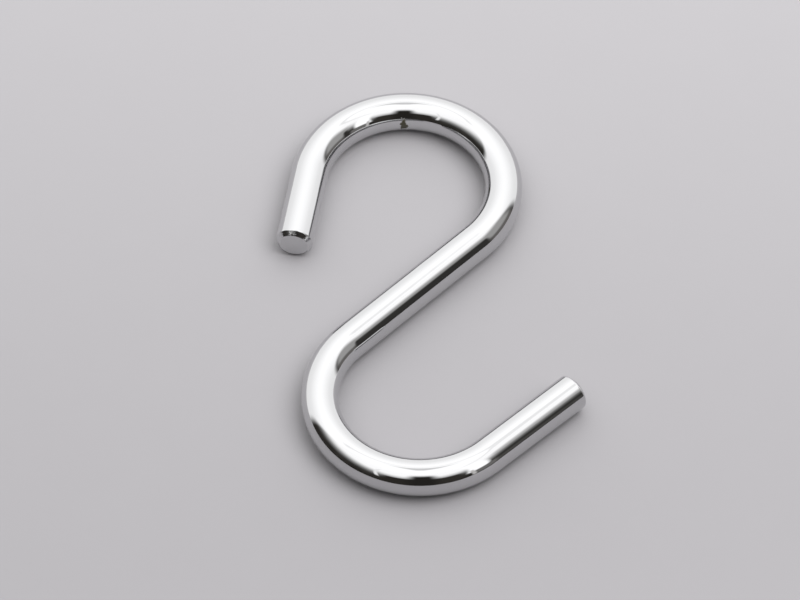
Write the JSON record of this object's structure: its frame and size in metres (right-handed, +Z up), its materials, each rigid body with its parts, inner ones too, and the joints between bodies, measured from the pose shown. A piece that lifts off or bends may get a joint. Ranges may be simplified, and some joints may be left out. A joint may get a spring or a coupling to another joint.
{
  "type": "s hook",
  "caption": "Open S-shaped hook bent from round chrome-plated steel rod, with one closed-in bend and one longer leg, for hanging things from a rail, rod or chain.",
  "frame": {"origin": "middle of the underside of the hook's bounding box, on the floor it lies on", "axes": "+Y along the hook towards the bend with the short leg, +X towards the tip of the long leg, +Z up from the floor, square to the plane of the bends"},
  "size_m": [0.0476, 0.08, 0.006],
  "materials": {
    "chrome_plated_steel": "bright polished chrome plate over drawn steel rod"
  },
  "bodies": {
    "root": {"hook": "chrome_plated_steel"}
  },
  "joints": []
}
